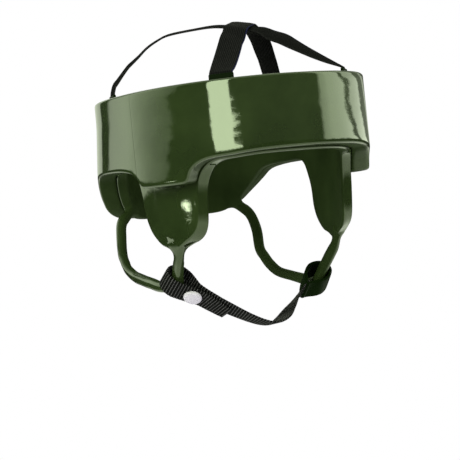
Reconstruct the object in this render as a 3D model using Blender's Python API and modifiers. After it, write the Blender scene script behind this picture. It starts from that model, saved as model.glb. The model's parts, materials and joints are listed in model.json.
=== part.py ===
# Soft protective helmet: a halo of coated foam with ear covers, crown straps and a snapped chin strap.
# Metres, +Z up. The wearer faces -Y, so the wearer's right is -X.
# The origin is the underside of the crown straps where they cross, which is where a head carries it.

import math

import bmesh
import bpy
from mathutils import Matrix, Vector

# The seam is the line where the two foam layers meet, seen from above: a rounded oval.
SEAM_HALF_LENGTH = 0.1113
SEAM_HALF_WIDTH = 0.0874
SEAM_SQUARENESS = 2.2

HALO_THICK = 0.016
SHELL_THICK = 0.0095
GLUE_GAP = 0.0003
RIM_CHAMFER = 0.0018

CROWN_RISE = 0.0478
CROSSING_FORWARD = 0.030

# How far each part of the lower edge hangs below the top rim.
BROW_DROP = 0.0580
TEMPLE_DROP = 0.0786
EAR_ARCH_DROP = 0.0616
NAPE_DROP = 0.0980
EAR_COVER_DROP = 0.1316
BROW_LIP = 0.0026
NAPE_LIP = 0.0020
EDGE_BEVEL = 0.0042
# Below this drop the wall leans in, by this share of the way further down.
TUCK_DROP = 0.0880
TUCK_LEAN = 0.05
# Behind the ears the wall leans out below this drop, most at the middle of a stretch of the half girth.
FLARE_DROP = 0.0200
FLARE_LEAN = 0.085
FLARE_GIRTH = (0.45, 0.95)

# The corner is where the two legs of a side meet under the ear.
# The strap pulls the left one a little further in and down, so the two sides have their own sizes.
CORNER_OUT_RIGHT = 0.0709
CORNER_OUT_LEFT = 0.0675
CORNER_FORWARD = 0.0075
CORNER_DROP_RIGHT = 0.1577
CORNER_DROP_LEFT = 0.1680
LEG_WIDTH = 0.0088
LEG_THICK = 0.0076
LEG_TOP_WIDTH = 0.0110
LEG_BOW = 0.0022

STRAP_WIDTH = 0.0195
STRAP_THICK = 0.0015
STRAP_CLEARANCE = 0.0003
CROSSING_SLACK = 0.0009
FRONT_ANCHOR_GIRTH = 0.203
REAR_ANCHOR_GIRTH = 0.660

TAB_WIDTH = 0.0205
TAB_THICK = 0.0026
TAB_STAND = 0.0050
TAB_ROOT = 0.0180

CHIN_DROP = 0.1980
CHIN_FORWARD = 0.0360
TAIL_LENGTH = 0.048
LOOP_BACK = 0.0125
# The snap sits at this share of the folded tail.
SNAP_SHARE = 0.3083
CAP_DIAMETER = 0.0154
CAP_HEIGHT = 0.0032
SOCKET_DIAMETER = 0.0090
CHIN_TAB_LENGTH = 0.0150
CHIN_TAB_THICK = 0.0026
CHIN_TAB_BACK = 0.0134
END_MARGIN = 0.001

HALF_OUTLINE_STEPS = 72
ROUND_STEPS = 24
# Steps along an edge are spaced by its length, with the way round the head counted this many times.
GIRTH_WEIGHT = 2.0

LEVELS = {
    "brow": BROW_DROP,
    "lip": BROW_DROP + BROW_LIP,
    "temple": TEMPLE_DROP,
    "arch": EAR_ARCH_DROP,
    "nape": NAPE_DROP,
    "nape_lip": NAPE_DROP + NAPE_LIP,
    "cover": EAR_COVER_DROP,
}

# Lower edge of the halo from the middle of the brow to the middle of the nape:
# share of the half girth, the level that it leaves, the level that it goes to, and how far it has gone.
HALO_EDGE = (
    (0.000, "brow", "temple", 0.00),
    (0.118, "brow", "temple", 0.03),
    (0.190, "brow", "temple", 0.11),
    (0.230, "brow", "temple", 0.15),
    (0.256, "brow", "temple", 0.24),
    (0.277, "brow", "temple", 0.43),
    (0.289, "brow", "temple", 0.66),
    (0.294, "brow", "temple", 0.90),
    (0.304, "brow", "temple", 1.00),
    (0.352, "brow", "temple", 1.01),
    (0.420, "temple", "arch", 0.01),
    (0.441, "temple", "arch", 0.08),
    (0.452, "temple", "arch", 0.29),
    (0.463, "temple", "arch", 0.54),
    (0.484, "temple", "arch", 0.77),
    (0.521, "temple", "arch", 0.92),
    (0.561, "temple", "arch", 0.98),
    (0.620, "arch", "nape", 0.00),
    (0.680, "arch", "nape", 0.02),
    (0.722, "arch", "nape", 0.10),
    (0.745, "arch", "nape", 0.28),
    (0.765, "arch", "nape", 0.45),
    (0.785, "arch", "nape", 0.62),
    (0.805, "arch", "nape", 0.79),
    (0.835, "arch", "nape", 0.93),
    (0.880, "arch", "nape", 1.00),
    (1.000, "arch", "nape", 1.00),
)

# Lower edge of the shell, read the same way. The last column widens the cut edge on the shell's inner face
# towards the face, as a share of the bevel.
SHELL_EDGE = (
    (0.000, "lip", "cover", 0.000, 0.0),
    (0.120, "lip", "cover", 0.004, 0.0),
    (0.190, "lip", "cover", 0.020, 0.0),
    (0.232, "lip", "cover", 0.028, 0.2),
    (0.258, "lip", "cover", 0.062, 0.5),
    (0.277, "lip", "cover", 0.130, 0.8),
    (0.290, "lip", "cover", 0.215, 1.0),
    (0.297, "lip", "cover", 0.320, 1.0),
    (0.301, "lip", "cover", 0.450, 1.0),
    (0.305, "lip", "cover", 0.620, 1.0),
    (0.310, "lip", "cover", 0.725, 1.0),
    (0.320, "lip", "cover", 0.800, 1.0),
    (0.337, "lip", "cover", 0.858, 0.8),
    (0.355, "lip", "cover", 0.897, 0.5),
    (0.372, "lip", "cover", 0.935, 0.3),
    (0.389, "lip", "cover", 0.975, 0.1),
    (0.400, "lip", "cover", 1.000, 0.0),
    (0.414, "cover", "arch", 0.000, 0.0),
    (0.436, "cover", "arch", 0.054, 0.0),
    (0.463, "cover", "arch", 0.104, 0.0),
    (0.494, "cover", "arch", 0.241, 0.0),
    (0.510, "cover", "arch", 0.396, 0.0),
    (0.514, "cover", "arch", 0.517, 0.0),
    (0.518, "cover", "arch", 0.654, 0.0),
    (0.525, "cover", "arch", 0.769, 0.0),
    (0.541, "cover", "arch", 0.940, 0.0),
    (0.570, "cover", "arch", 1.000, 0.0),
    (0.640, "arch", "nape_lip", 0.00, 0.0),
    (0.690, "arch", "nape_lip", 0.02, 0.0),
    (0.722, "arch", "nape_lip", 0.10, 0.0),
    (0.745, "arch", "nape_lip", 0.28, 0.0),
    (0.765, "arch", "nape_lip", 0.45, 0.0),
    (0.785, "arch", "nape_lip", 0.62, 0.0),
    (0.805, "arch", "nape_lip", 0.79, 0.0),
    (0.835, "arch", "nape_lip", 0.93, 0.0),
    (0.880, "arch", "nape_lip", 1.00, 0.0),
    (1.000, "arch", "nape_lip", 1.00, 0.0),
)
COVER_TIP_GIRTH = 0.407
REAR_LEG_GIRTH = 0.812

# Front leg from the cover's tip to the corner: share of the way, and share of the bow that it sags.
FRONT_LEG_ROUTE = (
    (0.16, 1.00),
    (0.42, 0.65),
    (0.72, 0.25),
)

# Rear leg from the corner up to the nape: shares of the seam's half width and half length,
# and how far it has risen from the corner to the nape.
REAR_LEG_ROUTE = (
    (0.855, 0.085, -0.024),
    (0.864, 0.225, 0.028),
    (0.852, 0.365, 0.075),
    (0.830, 0.525, 0.135),
    (0.824, 0.636, 0.232),
    (0.812, 0.692, 0.328),
    (0.800, 0.737, 0.434),
    (0.790, 0.746, 0.663),
    (0.745, 0.775, 0.860),
)

# Crown strap from the crossing to an anchor: share of the run, share of the height over the tab, and how far
# the strap leans sideways in degrees.
FRONT_CROWN = (
    (0.000, 1.000, 13.0),
    (0.120, 0.953, 14.0),
    (0.220, 0.900, 20.0),
    (0.315, 0.782, 28.0),
    (0.425, 0.682, 30.0),
    (0.510, 0.571, 27.0),
    (0.610, 0.442, 22.0),
    (0.740, 0.282, 17.0),
    (0.865, 0.140, 11.0),
    (0.945, 0.057, 5.0),
    (0.980, 0.020, 1.0),
    (1.000, 0.000, 0.0),
)
REAR_CROWN = (
    (0.000, 1.000, 13.0),
    (0.175, 1.080, 12.0),
    (0.350, 1.070, 10.0),
    (0.530, 1.030, 11.0),
    (0.620, 0.950, 13.0),
    (0.705, 0.830, 16.0),
    (0.770, 0.690, 18.0),
    (0.820, 0.590, 20.0),
    (0.860, 0.510, 22.0),
    (0.900, 0.400, 23.0),
    (0.930, 0.310, 24.0),
    (0.955, 0.235, 25.0),
    (0.980, 0.160, 26.0),
    (1.000, 0.000, 26.5),
)

# Chin strap from each corner to the middle of the chin: shares of the way in, forward and down.
CHIN_ROUTE_RIGHT = (
    (0.00, 0.00, 0.00),
    (0.30, 0.36, 0.35),
    (0.53, 0.64, 0.62),
    (0.71, 0.84, 0.82),
    (0.865, 0.96, 0.95),
    (1.00, 1.00, 1.00),
)
CHIN_ROUTE_LEFT = (
    (0.00, 0.00, 0.00),
    (0.25, 0.06, 0.22),
    (0.48, 0.28, 0.50),
    (0.69, 0.62, 0.77),
    (0.86, 0.90, 0.94),
    (1.00, 1.00, 1.00),
)
# Way that the strap's outer face points at the two corners and under the chin.
CORNER_FACING_RIGHT = (-0.573, -0.457, -0.680)
CORNER_FACING_LEFT = (0.340, -0.640, -0.690)
CHIN_FACING = (0.0, -0.10, -1.0)

# Right end of the chin strap along the folded tail: share of the tail, how far the inner and the outer
# layer lie from the route, in strap thicknesses, and how far the outer one has slid, in strap widths.
TAIL_LAYERS = (
    (0.00, -7.6, 4.4, 0.00),
    (0.12, -6.4, 3.9, 0.00),
    (0.20, -4.8, 3.4, 0.00),
    (0.36, -1.3, 2.4, 0.00),
    (0.52, -0.5, 1.5, -0.06),
    (0.80, 0.0, 1.3, -0.20),
    (1.00, 0.0, 1.3, -0.28),
)

# The dipped loop at the left corner, read like the tail's layers.
TAB_LAYERS = (
    (0.00, -4.8, 2.7, 0.00),
    (0.35, -4.1, 2.3, 0.00),
    (0.70, -2.4, 1.3, 0.00),
    (1.00, -0.6, 0.6, 0.00),
)

PAINT = {
    "green_vinyl": ((0.050, 0.085, 0.026), 0.22),
    "dark_green_vinyl": ((0.020, 0.045, 0.012), 0.30),
    "black_webbing": ((0.012, 0.012, 0.013), 0.80),
    "white_snap": ((0.80, 0.83, 0.85), 0.25),
    "nickel": ((0.45, 0.45, 0.46), 0.30),
}


def catmull(points, share):
    """Point of a smooth curve through rows of numbers, at a share of its rows."""
    last = len(points) - 1
    place = min(max(share, 0.0), 1.0) * last
    i = min(int(place), last - 1)
    t = place - i
    p0, p1, p2, p3 = (Vector(points[min(max(k, 0), last)]) for k in (i - 1, i, i + 1, i + 2))
    return 0.5 * (2 * p1 + (p2 - p0) * t + (2 * p0 - 5 * p1 + 4 * p2 - p3) * t * t
                  + (3 * p1 - p0 - 3 * p2 + p3) * t * t * t)


def even_steps(points, count):
    """Points at even distances along the smooth curve through the given ones."""
    fine = [catmull(points, i / (20 * len(points))) for i in range(20 * len(points) + 1)]
    walked = [0.0]
    for a, b in zip(fine, fine[1:]):
        walked.append(walked[-1] + (b - a).length)
    steps, k = [], 0
    for i in range(count + 1):
        target = walked[-1] * i / count
        while k < len(walked) - 2 and walked[k + 1] < target:
            k += 1
        t = (target - walked[k]) / max(walked[k + 1] - walked[k], 1e-9)
        steps.append(fine[k].lerp(fine[k + 1], min(max(t, 0.0), 1.0)))
    return steps


def table_at(table, share):
    """Row of a table at a share given in its first column, with straight steps between rows."""
    for low, high in zip(table, table[1:]):
        if share <= high[0]:
            t = (share - low[0]) / (high[0] - low[0])
            return [a + (b - a) * t for a, b in zip(low, high)]
    return list(table[-1])


def seam_table():
    """Seam points and outward normals from the brow to the nape on the wearer's right, by walked share."""
    rows, walked, before = [], 0.0, None
    for i in range(721):
        angle = math.pi * i / 720
        s, c = math.sin(angle), math.cos(angle)
        power = 2 / SEAM_SQUARENESS
        x = -SEAM_HALF_WIDTH * abs(s) ** power
        y = -SEAM_HALF_LENGTH * math.copysign(abs(c) ** power, c)
        nx = -abs(x / SEAM_HALF_WIDTH) ** (SEAM_SQUARENESS - 1) / SEAM_HALF_WIDTH
        ny = math.copysign(abs(y / SEAM_HALF_LENGTH) ** (SEAM_SQUARENESS - 1), y) / SEAM_HALF_LENGTH
        if before:
            walked += math.hypot(x - before[0], y - before[1])
        before = (x, y)
        size = math.hypot(nx, ny)
        rows.append((walked, x, y, nx / size, ny / size))
    return [(row[0] / walked,) + row[1:] for row in rows], walked


SEAM_ROWS, HALF_GIRTH = seam_table()
RING_CENTRE = Vector((0.0, CROSSING_FORWARD, -CROWN_RISE))


def seam_at(girth, side=-1):
    """Seam point and outward normal at a share of the half girth; side -1 is the wearer's right."""
    low, high = 0, len(SEAM_ROWS) - 1
    while high - low > 1:
        middle = (low + high) // 2
        if SEAM_ROWS[middle][0] <= girth:
            low = middle
        else:
            high = middle
    a, b = SEAM_ROWS[low], SEAM_ROWS[high]
    t = min(max((girth - a[0]) / (b[0] - a[0]), 0.0), 1.0)
    x, y, nx, ny = (p + (q - p) * t for p, q in zip(a[1:], b[1:]))
    return Vector((-side * x, y, 0.0)), Vector((-side * nx, ny, 0.0)).normalized()


def wall_point(girth, outward, drop, side=-1):
    """Point of the ring in the part's frame; low down the wall leans in, and behind the ears out."""
    point, normal = seam_at(girth, side)
    tuck = TUCK_LEAN * max(0.0, drop - TUCK_DROP)
    stretch = (girth - FLARE_GIRTH[0]) / (FLARE_GIRTH[1] - FLARE_GIRTH[0])
    swell = math.sin(math.pi * min(max(stretch, 0.0), 1.0)) ** 2
    flare = FLARE_LEAN * swell * max(0.0, drop - FLARE_DROP)
    return RING_CENTRE + point + normal * (outward - tuck + flare) - Vector((0.0, 0.0, drop))


def row_drop(row):
    """Drop that a row of an edge table gives."""
    return LEVELS[row[1]] + (LEVELS[row[2]] - LEVELS[row[1]]) * row[3]


def edge_point(table, girth, outward, side):
    """Point of a lower edge at a share of the half girth."""
    drop = table_at([(row[0], row_drop(row)) for row in table], girth)[1]
    return wall_point(girth, outward, drop, side)


def edge_outline(table):
    """Steps along a lower edge as (walked girth, drop, bevel) in metres, metres and a share."""
    rows = []
    for row in table:
        bevel = row[4] * EDGE_BEVEL if len(row) > 4 else 0.0
        rows.append((row[0] * HALF_GIRTH * GIRTH_WEIGHT, row_drop(row), bevel))
    steps = even_steps(rows, HALF_OUTLINE_STEPS)
    return [Vector((step.x / GIRTH_WEIGHT, step.y, step.z / EDGE_BEVEL)) for step in steps]


def inset_outline(outline, distance):
    """The outline moved up into the wall, square to its own direction."""
    moved = []
    last = len(outline) - 1
    for i, point in enumerate(outline):
        along = outline[min(i + 1, last)] - outline[max(i - 1, 0)]
        size = math.hypot(along.x, along.y)
        girth = point.x + distance * along.y / size
        if i in (0, last):
            girth = point.x
        moved.append(Vector((girth, point.y - distance * along.x / size, point.z)))
    return moved


def spread_for_bevel(outline):
    """The outline on the wall's inner face, pushed out past the outer one where the cut is bevelled."""
    grown = inset_outline(outline, -1.0)
    return [a + (b - a) * (EDGE_BEVEL * a.z) for a, b in zip(outline, grown)]


def wall_section(i, outer, outer_in, inner, inner_in, outward, inward):
    """Closed section of the foam wall through one step of its lower edge, as (girth, outward, drop)."""
    r = RIM_CHAMFER
    rows = [(outer[i].x, outward, r), (outer[i].x, outward - r, 0.0)]
    rows += [(inner[i].x, inward + r, 0.0), (inner[i].x, inward, r)]
    for share in (0.34, 0.67):
        end = inner_in[i]
        rows.append((inner[i].x + (end.x - inner[i].x) * share, inward, r + (end.y - r) * share))
    rows.append((inner_in[i].x, inward, inner_in[i].y))
    rows.append((inner[i].x, inward + r, inner[i].y))
    rows.append((outer[i].x, outward - r, outer[i].y))
    rows.append((outer_in[i].x, outward, outer_in[i].y))
    for share in (0.67, 0.34):
        end = outer_in[i]
        rows.append((outer[i].x + (end.x - outer[i].x) * share, outward, r + (end.y - r) * share))
    return rows


def foam_wall(name, table, outward, inward, paint, group):
    """A foam ring whose lower edge follows a table, lofted through sections all the way round."""
    outer = edge_outline(table)
    inner = spread_for_bevel(outer)
    outer_in = inset_outline(outer, RIM_CHAMFER)
    inner_in = inset_outline(inner, RIM_CHAMFER)
    sections = []
    stops = list(range(HALF_OUTLINE_STEPS + 1))
    for side, steps in ((-1, stops), (1, stops[-2:0:-1])):
        for i in steps:
            rows = wall_section(i, outer, outer_in, inner, inner_in, outward, inward)
            sections.append([wall_point(g / HALF_GIRTH, out, drop, side) for g, out, drop in rows])
    return loft(name, sections, paint, group, closed=True)


def loft(name, sections, paint, group, closed=False):
    """A solid skinned through sections of equally many points."""
    mesh = bmesh.new()
    rings = [[mesh.verts.new(point) for point in section] for section in sections]
    count = len(rings[0])
    pairs = list(zip(rings, rings[1:]))
    if closed:
        pairs.append((rings[-1], rings[0]))
    for near, far in pairs:
        for i in range(count):
            j = (i + 1) % count
            mesh.faces.new((near[i], near[j], far[j], far[i]))
    if not closed:
        mesh.faces.new(rings[0])
        mesh.faces.new(rings[-1])
    bmesh.ops.triangulate(mesh, faces=mesh.faces[:])
    bmesh.ops.recalc_face_normals(mesh, faces=mesh.faces[:])
    return finish(name, mesh, paint, group)


def finish(name, mesh, paint, group):
    """Turns a bmesh into a named, painted, smooth-shaded object of the group."""
    data = bpy.data.meshes.new(name)
    mesh.to_mesh(data)
    mesh.free()
    data.materials.append(make_paint(name, paint))
    data.shade_smooth()
    data.set_sharp_from_angle(angle=math.radians(40))
    obj = bpy.data.objects.new(name, data)
    group.objects.link(obj)
    return obj


def make_paint(name, paint):
    """A plain Principled finish of the piece's own."""
    colour, roughness = PAINT[paint]
    material = bpy.data.materials.new(f"{name}_{paint}")
    material.use_nodes = True
    shader = material.node_tree.nodes["Principled BSDF"]
    shader.inputs["Base Color"].default_value = (*colour, 1.0)
    shader.inputs["Roughness"].default_value = roughness
    shader.inputs["Metallic"].default_value = 1.0 if paint == "nickel" else 0.0
    return material


def square_frame(along, facing):
    """Side and facing directions, square to the way along."""
    facing = (facing - along * facing.dot(along)).normalized()
    return facing.cross(along).normalized(), facing


def directions(points, closed=False):
    """Way along at each point of a path."""
    last = len(points) - 1
    if closed:
        return [(points[(i + 1) % (last + 1)] - points[i - 1]).normalized() for i in range(last + 1)]
    return [(points[min(i + 1, last)] - points[max(i - 1, 0)]).normalized() for i in range(last + 1)]


def ribbon(name, points, facings, width, thick, paint, group, closed=False):
    """Flat webbing along a path, its outer side towards the facings: a sheet that is given a thickness."""
    rows = list(zip(points, directions(points, closed), facings))
    if closed:
        rows.append(rows[0])
    mesh = bmesh.new()
    bmesh.ops.create_grid(mesh, x_segments=1, y_segments=len(rows) - 1, size=0.5)
    mesh.verts.ensure_lookup_table()
    for i, (point, along, facing) in enumerate(rows):
        half = square_frame(along, facing)[0] * (width / 2)
        mesh.verts[2 * i].co = point - half
        mesh.verts[2 * i + 1].co = point + half
    bmesh.ops.remove_doubles(mesh, verts=mesh.verts[:], dist=GLUE_GAP / 10)
    sheet = finish(name, mesh, paint, group)
    wall = sheet.modifiers.new("thickness", "SOLIDIFY")
    wall.thickness = thick
    wall.offset = 0.0
    wall.use_even_offset = True
    return sheet


def tab_place(girth, side):
    """Middle of a strap tab's top face, its width direction and its outward direction."""
    point, normal = seam_at(girth, side)
    across = Vector((-normal.y, normal.x, 0.0))
    centre = RING_CENTRE + point + normal * (GLUE_GAP + TAB_THICK / 2) + Vector((0.0, 0.0, TAB_STAND))
    return centre, across, normal


def block(name, centre, axes, size, paint, group, chamfer=0.0):
    """A box with its sides along three given directions."""
    mesh = bmesh.new()
    turn = Matrix(axes).transposed().to_4x4()
    bmesh.ops.create_cube(mesh, size=1.0, matrix=Matrix.Diagonal((*size, 1.0)))
    if chamfer:
        bmesh.ops.bevel(mesh, geom=mesh.edges[:], offset=chamfer, segments=1, profile=0.5,
                        affect="EDGES", material=-1)
    bmesh.ops.transform(mesh, matrix=Matrix.Translation(centre) @ turn, verts=mesh.verts[:])
    bmesh.ops.recalc_face_normals(mesh, faces=mesh.faces[:])
    return finish(name, mesh, paint, group)


def strap_tab(name, girth, side, halo, group, cutters):
    """Dipped strap end: stands over the rim and is rooted in a slot of the halo."""
    top, across, normal = tab_place(girth, side)
    tall = TAB_STAND + TAB_ROOT
    up = Vector((0.0, 0.0, 1.0))
    axes = (across, normal, up)
    middle = top - up * (tall / 2)
    block(name, middle, axes, (TAB_WIDTH, TAB_THICK, tall), "dark_green_vinyl", group, TAB_THICK / 8)
    slot_deep = TAB_THICK + 2 * GLUE_GAP + 2 * STRAP_CLEARANCE
    slot = block(f"{name}_slot", middle - normal * STRAP_CLEARANCE - up * (STRAP_CLEARANCE / 2), axes,
                 (TAB_WIDTH + 2 * STRAP_CLEARANCE, slot_deep + 2 * GLUE_GAP, tall + STRAP_CLEARANCE),
                 "dark_green_vinyl", cutters)
    slot.hide_render = True
    slot.display_type = "WIRE"
    cut = halo.modifiers.new(f"{name}_slot", "BOOLEAN")
    cut.operation = "DIFFERENCE"
    cut.object = slot


def crown_half(table, girth, side):
    """Points and facings of a crown strap from the crossing down to one tab."""
    anchor = tab_place(girth, side)[0] + Vector((0.0, 0.0, 2 * STRAP_CLEARANCE))
    crossing = Vector((0.0, 0.0, STRAP_THICK / 2))
    flat = Vector((anchor.x - crossing.x, anchor.y - crossing.y, 0.0))
    forward = flat.normalized()
    up = Vector((0.0, 0.0, 1.0))
    across = up.cross(forward)
    if across.y < 0:
        across = -across
    places = []
    for share, height, lean in table:
        point = crossing + flat * share
        point.z = anchor.z + (crossing.z - anchor.z) * height
        places.append((point.x, point.y, point.z, lean))
    rows = [catmull_row(places, i / 24) for i in range(25)]
    rows[-2] = Vector((anchor.x, anchor.y, anchor.z + STRAP_THICK, table[-1][2]))
    points = [Vector(row[:3]) for row in rows]
    facings = []
    for along, row in zip(directions(points), rows):
        rise = across.cross(along)
        if rise.dot(up + forward * 0.5) < 0:
            rise = -rise
        lean = math.radians(row[3])
        facings.append((rise * math.cos(lean) - across * math.sin(lean)).normalized())
    return points, facings


def catmull_row(rows, share):
    """Smooth curve through rows of four numbers, walked evenly in its first three."""
    walked = [0.0]
    for a, b in zip(rows, rows[1:]):
        walked.append(walked[-1] + (Vector(b[:3]) - Vector(a[:3])).length)
    target = share * walked[-1]
    k = 0
    while k < len(walked) - 2 and walked[k + 1] < target:
        k += 1
    t = (target - walked[k]) / (walked[k + 1] - walked[k])
    return catmull(rows, (k + t) / (len(rows) - 1))


def crown_strap(name, front_side, lift, group):
    """One webbing strap from a front tab over the crossing to the rear tab of the other side."""
    front_points, front_facings = crown_half(FRONT_CROWN, FRONT_ANCHOR_GIRTH, front_side)
    rear_points, rear_facings = crown_half(REAR_CROWN, REAR_ANCHOR_GIRTH, -front_side)
    points = front_points[::-1] + rear_points[1:]
    facings = front_facings[::-1] + rear_facings[1:]
    raised = []
    for point, facing in zip(points, facings):
        far = math.hypot(point.x, point.y) / (2 * STRAP_WIDTH)
        hump = math.cos(min(far, 1.0) * math.pi / 2) ** 2
        raised.append(point + facing * (lift * min(1.0, 1.6 * hump)))
    return ribbon(name, raised, facings, STRAP_WIDTH, STRAP_THICK, "black_webbing", group)


def corner_place(side):
    """The corner of a side, in the part's frame."""
    out, drop = (CORNER_OUT_RIGHT, CORNER_DROP_RIGHT) if side < 0 else (CORNER_OUT_LEFT, CORNER_DROP_LEFT)
    return RING_CENTRE + Vector((side * out, -CORNER_FORWARD, -drop))


def leg_end(side):
    """Where a rear leg meets the shell's sloping edge, and the way up into it."""
    half = LEG_WIDTH / 2 / HALF_GIRTH
    middle = -SHELL_THICK / 2
    fore, aft = (edge_point(SHELL_EDGE, REAR_LEG_GIRTH + step, middle, side) for step in (-half, half))
    way = seam_at(REAR_LEG_GIRTH, side)[1].cross(aft - fore).normalized()
    if way.z < 0:
        way = -way
    return (fore + aft) / 2 - way * (2.6 * GLUE_GAP), way


def leg_route(side):
    """Path of a leg strip from the tip of the ear cover, round the corner and up to the nape."""
    start = wall_point(COVER_TIP_GIRTH, -SHELL_THICK / 2, LEVELS["cover"] + 2.4 * GLUE_GAP, side)
    corner = corner_place(side)
    end = leg_end(side)[0]
    route = [start]
    for share, bow in FRONT_LEG_ROUTE:
        route.append(start.lerp(corner, share) - Vector((0.0, 0.0, LEG_BOW * bow)))
    route.append(corner)
    for out, back, rise in REAR_LEG_ROUTE:
        x = side * SEAM_HALF_WIDTH * out
        y = RING_CENTRE.y + SEAM_HALF_LENGTH * back
        route.append(Vector((x, y, corner.z + (end.z - corner.z) * rise)))
    route.append(end)
    return route


def leg_strip(name, side, group):
    """Dipped foam strip with a rounded section, wider where it leaves the ear cover."""
    points = even_steps(leg_route(side), 40)
    points[0].z = leg_route(side)[0].z
    sections = []
    ways = directions(points)
    ways[0] = Vector((0.0, 0.0, -1.0))
    ways[-1] = leg_end(side)[1]
    for i, (point, along) in enumerate(zip(points, ways)):
        outward = Vector((point.x - RING_CENTRE.x, point.y - RING_CENTRE.y, 0.0))
        across, up = square_frame(along, outward)
        wide = LEG_WIDTH + (LEG_TOP_WIDTH - LEG_WIDTH) * max(0.0, 1 - i / 5)
        sections.append([point + across * (wide / 2 * a) + up * (LEG_THICK / 2 * b) for a, b in BAR_SECTION])
    return loft(name, sections, "green_vinyl", group)


BAR_SECTION = ((1.0, -0.5), (1.0, 0.5), (0.5, 1.0), (-0.5, 1.0), (-1.0, 0.5), (-1.0, -0.5), (-0.5, -1.0),
               (0.5, -1.0))


def chin_centre_line():
    """Even steps of the chin strap's route from the right corner to the left one, with its facings."""
    middle = RING_CENTRE + Vector((0.0, -CHIN_FORWARD, -CHIN_DROP))
    route = []
    for side, rows in ((-1, CHIN_ROUTE_RIGHT), (1, CHIN_ROUTE_LEFT[-2::-1])):
        corner = corner_place(side)
        for inward, forward, down in rows:
            route.append(Vector((corner.x * (1 - inward), corner.y + (middle.y - corner.y) * forward,
                                 corner.z + (middle.z - corner.z) * down)))
    points = even_steps(route, 60)
    facings = []
    for point in points:
        end, reach = CORNER_FACING_LEFT, CORNER_OUT_LEFT
        if point.x < 0:
            end, reach = CORNER_FACING_RIGHT, CORNER_OUT_RIGHT
        share = min(abs(point.x) / reach * 1.15, 1.0)
        facings.append(Vector(CHIN_FACING).lerp(Vector(end), share).normalized())
    return points, facings


def walk(points):
    """Length walked to each point of a path."""
    total = [0.0]
    for a, b in zip(points, points[1:]):
        total.append(total[-1] + (b - a).length)
    return total


def path_at(points, values, walked, distance):
    """Value of a list that runs along a path, at a distance."""
    k = 0
    while k < len(walked) - 2 and walked[k + 1] < distance:
        k += 1
    t = (distance - walked[k]) / (walked[k + 1] - walked[k])
    return values[k].lerp(values[k + 1], t)


def layered_end(points, facings, table, length, unit, steps):
    """Outer and inner layer of a folded end along the start of a route, as points with facings."""
    walked, ways = walk(points), directions(points)
    outer, inner = [], []
    for i in range(steps + 1):
        distance = length * i / steps
        point = path_at(points, points, walked, distance)
        along = path_at(points, ways, walked, distance).normalized()
        across, facing = square_frame(along, path_at(points, facings, walked, distance))
        _, low, high, slide = table_at(table, i / steps)
        outer.append((point + facing * (high * unit) + across * (slide * STRAP_WIDTH), facing))
        inner.append((point + facing * (low * unit), facing))
    return outer, inner


def chin_strap_path():
    """Points and facings of the whole chin strap from the cut end of its tail to the left tab."""
    points, facings = chin_centre_line()
    walked = walk(points)
    outer, inner = layered_end(points, facings, TAIL_LAYERS, TAIL_LENGTH, STRAP_THICK, 20)
    turn = fold_round(inner[0][0], outer[0][0], directions(points)[0], LOOP_BACK)
    end_at = walked[-1] - CHIN_TAB_LENGTH - 1.6 * CHIN_TAB_THICK
    rest = [(p, f) for p, f, w in zip(points, facings, walked)
            if TAIL_LENGTH + END_MARGIN < w < end_at - END_MARGIN]
    end = (path_at(points, points, walked, end_at), path_at(points, facings, walked, end_at))
    whole = outer[::-1] + turn + [(p, -f) for p, f in inner]
    whole += [(p, -f) for p, f in rest] + [(end[0], -end[1])]
    return [p for p, f in whole], [f for p, f in whole]


def fold_round(start, finish_at, along, back):
    """Half turn of a folded end, from the outer layer round behind and on to the inner one."""
    centre = (start + finish_at) / 2
    reach = finish_at - centre
    turn = []
    for i in range(1, 8):
        angle = math.pi * i / 8
        swing = reach * math.cos(angle) - along * (back * math.sin(angle))
        turn.append((centre + swing, (reach.normalized() * math.cos(angle) / reach.length
                                      - along * math.sin(angle) / back).normalized()))
    return turn


def chin_strap(group):
    """Webbing loop of the chin with its folded right end."""
    points, facings = chin_strap_path()
    return ribbon("chin_strap", points, facings, STRAP_WIDTH, STRAP_THICK, "black_webbing", group)


def layer_slope(column):
    """Rise of a layer of the tail away from the route, under the snap."""
    before, after = (table_at(TAIL_LAYERS, SNAP_SHARE + step)[column] for step in (-0.06, 0.06))
    return (after - before) * STRAP_THICK / (0.12 * TAIL_LENGTH)


def snap(group):
    """White domed cap on the outer layer and the plain socket between the layers."""
    points, facings = chin_centre_line()
    walked = walk(points)
    distance = SNAP_SHARE * TAIL_LENGTH
    point = path_at(points, points, walked, distance)
    along = path_at(points, directions(points), walked, distance).normalized()
    facing = square_frame(along, path_at(points, facings, walked, distance))[1]
    _, low, high, _ = table_at(TAIL_LAYERS, SNAP_SHARE)
    outer_facing = square_frame((along + facing * layer_slope(2)).normalized(), facing)[1]
    seat = point + facing * (high * STRAP_THICK) + outer_facing * (STRAP_THICK / 2 + 2 * STRAP_CLEARANCE)
    dome("snap_cap", seat, outer_facing, CAP_DIAMETER, CAP_HEIGHT, "white_snap", group)
    wedge = SOCKET_DIAMETER / 2 * (abs(layer_slope(1)) + abs(layer_slope(2)))
    room = (high - low - 1) * STRAP_THICK - wedge - 3 * STRAP_CLEARANCE
    middle = point + facing * ((high + low) / 2 * STRAP_THICK)
    disc("snap_socket", middle, facing, SOCKET_DIAMETER, room, "nickel", group)


def facing_turn(seat, facing):
    """Matrix that stands a piece on its seat with its axis along the facing."""
    return Matrix.Translation(seat) @ facing.to_track_quat("Z", "Y").to_matrix().to_4x4()


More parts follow.
